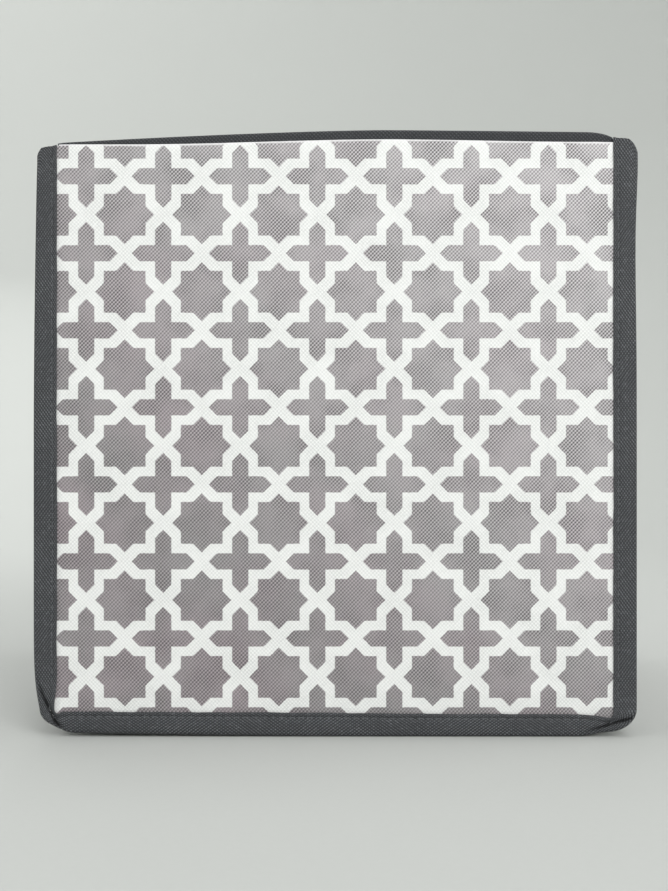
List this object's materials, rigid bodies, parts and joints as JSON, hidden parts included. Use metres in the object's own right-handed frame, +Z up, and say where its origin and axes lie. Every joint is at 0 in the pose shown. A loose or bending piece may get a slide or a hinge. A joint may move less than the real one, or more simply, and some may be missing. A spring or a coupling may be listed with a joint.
{
  "type": "storage bin",
  "caption": "Open-topped collapsible fabric storage bin with stiffened walls, bound edges, a gray star and cross print and a loose base that lifts out.",
  "frame": {"origin": "middle of the footprint, at the height of the fins' lower edges, where the bin stands", "axes": "+Z up, -Y out of the printed front panel, +X to the right as seen from the front"},
  "size_m": [0.29, 0.2686, 0.2912],
  "materials": {
    "printed_fabric": "embossed nonwoven with a white star and cross outline print on gray",
    "binding_tape": "embossed nonwoven, charcoal",
    "lining": "embossed nonwoven, dark gray",
    "base_cover": "embossed nonwoven, dark gray",
    "thread": "polyester sewing thread",
    "board": "gray-brown fibre board"
  },
  "bodies": {
    "bin": {"front_outer_panel": "printed_fabric", "front_board": "board", "front_lining": "lining", "front_binding_tape": "binding_tape", "front_seam_thread": "thread", "back_outer_panel": "printed_fabric", "back_board": "board", "back_lining": "lining", "back_binding_tape": "binding_tape", "back_seam_thread": "thread", "body_wrap": "printed_fabric", "body_lining": "lining", "left_board_front": "board", "left_board_rear": "board", "left_crease_thread": "thread", "right_board_front": "board", "right_board_rear": "board", "right_crease_thread": "thread"},
    "base_insert": {"base_board": "board", "base_cover_top": "base_cover", "base_cover_underside": "base_cover"}
  },
  "joints": [
    {"name": "base_lift", "type": "slide", "parent": "bin", "child": "base_insert", "axis": [0, 0, 1], "range_m": [0, 0.3]}
  ]
}
